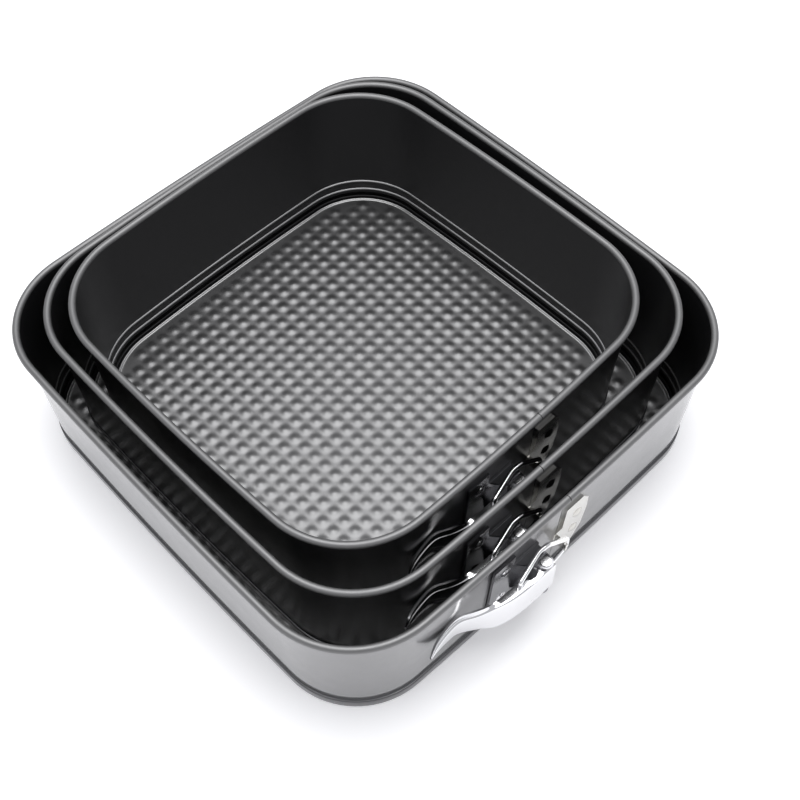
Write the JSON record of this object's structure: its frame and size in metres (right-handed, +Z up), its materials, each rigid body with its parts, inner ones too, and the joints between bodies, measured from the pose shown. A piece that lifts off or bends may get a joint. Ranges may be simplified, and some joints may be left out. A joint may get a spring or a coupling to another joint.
{
  "type": "nested square springform pans",
  "caption": "Nested square springform pans: sprung steel bands with rolled rims, loose waffle bases and over-centre lever latches.",
  "frame": {"origin": "on the standing plane, under the middle of the set's box with the latch counted in", "axes": "+Z up; +X towards the side that carries the latches; +Y from the levers' tips towards the catches"},
  "size_m": [0.2522, 0.2432, 0.0756],
  "materials": {
    "wall_steel": "satin grey outside, near-black non-stick inside",
    "waffle_coating": "semi-gloss dark grey non-stick",
    "latch_steel": "bright plated",
    "rivet_steel": "satin",
    "lever_chrome": "bright plated",
    "wire_chrome": "bright plated"
  },
  "bodies": {
    "large_pan": {"large_band": "wall_steel", "large_bracket": "latch_steel", "large_bracket_rivets": "rivet_steel", "large_catch": "latch_steel", "large_catch_rivets": "rivet_steel", "large_lever_pin": "rivet_steel"},
    "large_base": {"large_base": "waffle_coating"},
    "large_lever": {"large_lever": "lever_chrome"},
    "large_bail": {"large_bail": "wire_chrome"},
    "medium_pan": {"medium_band": "wall_steel", "medium_bracket": "latch_steel", "medium_bracket_rivets": "rivet_steel", "medium_catch": "latch_steel", "medium_catch_rivets": "rivet_steel", "medium_lever_pin": "rivet_steel", "medium_lever": "lever_chrome", "medium_bail": "wire_chrome"},
    "medium_base": {"medium_base": "waffle_coating"},
    "small_pan": {"small_band": "wall_steel", "small_bracket": "latch_steel", "small_bracket_rivets": "rivet_steel", "small_catch": "latch_steel", "small_catch_rivets": "rivet_steel", "small_lever_pin": "rivet_steel", "small_lever": "lever_chrome", "small_bail": "wire_chrome"},
    "small_base": {"small_base": "waffle_coating"}
  },
  "joints": [
    {"name": "large_base_lift", "type": "slide", "parent": "large_pan", "child": "large_base", "axis": [0, 0, 1], "range_m": [0, 0.09]},
    {"name": "medium_pan_lift", "type": "slide", "parent": "large_base", "child": "medium_pan", "axis": [0, 0, 1], "range_m": [0, 0.09]},
    {"name": "medium_base_lift", "type": "slide", "parent": "medium_pan", "child": "medium_base", "axis": [0, 0, 1], "range_m": [0, 0.09]},
    {"name": "small_pan_lift", "type": "slide", "parent": "medium_base", "child": "small_pan", "axis": [0, 0, 1], "range_m": [0, 0.09]},
    {"name": "small_base_lift", "type": "slide", "parent": "small_pan", "child": "small_base", "axis": [0, 0, 1], "range_m": [0, 0.09]},
    {"name": "large_lever_hinge", "type": "hinge", "parent": "large_pan", "child": "large_lever", "pos_m": [0.12248, -0.0186, 0.035], "axis": [0, 0, 1], "range_deg": [0, 90]},
    {"name": "large_bail_hinge", "type": "hinge", "parent": "large_lever", "child": "large_bail", "pos_m": [0.12218, -0.0335, 0.035], "axis": [0, 0, 1], "range_deg": [-90, 0]}
  ],
  "couplings": [
    {"joint": "large_bail_hinge", "follows": "large_lever_hinge", "ratio": -1}
  ]
}
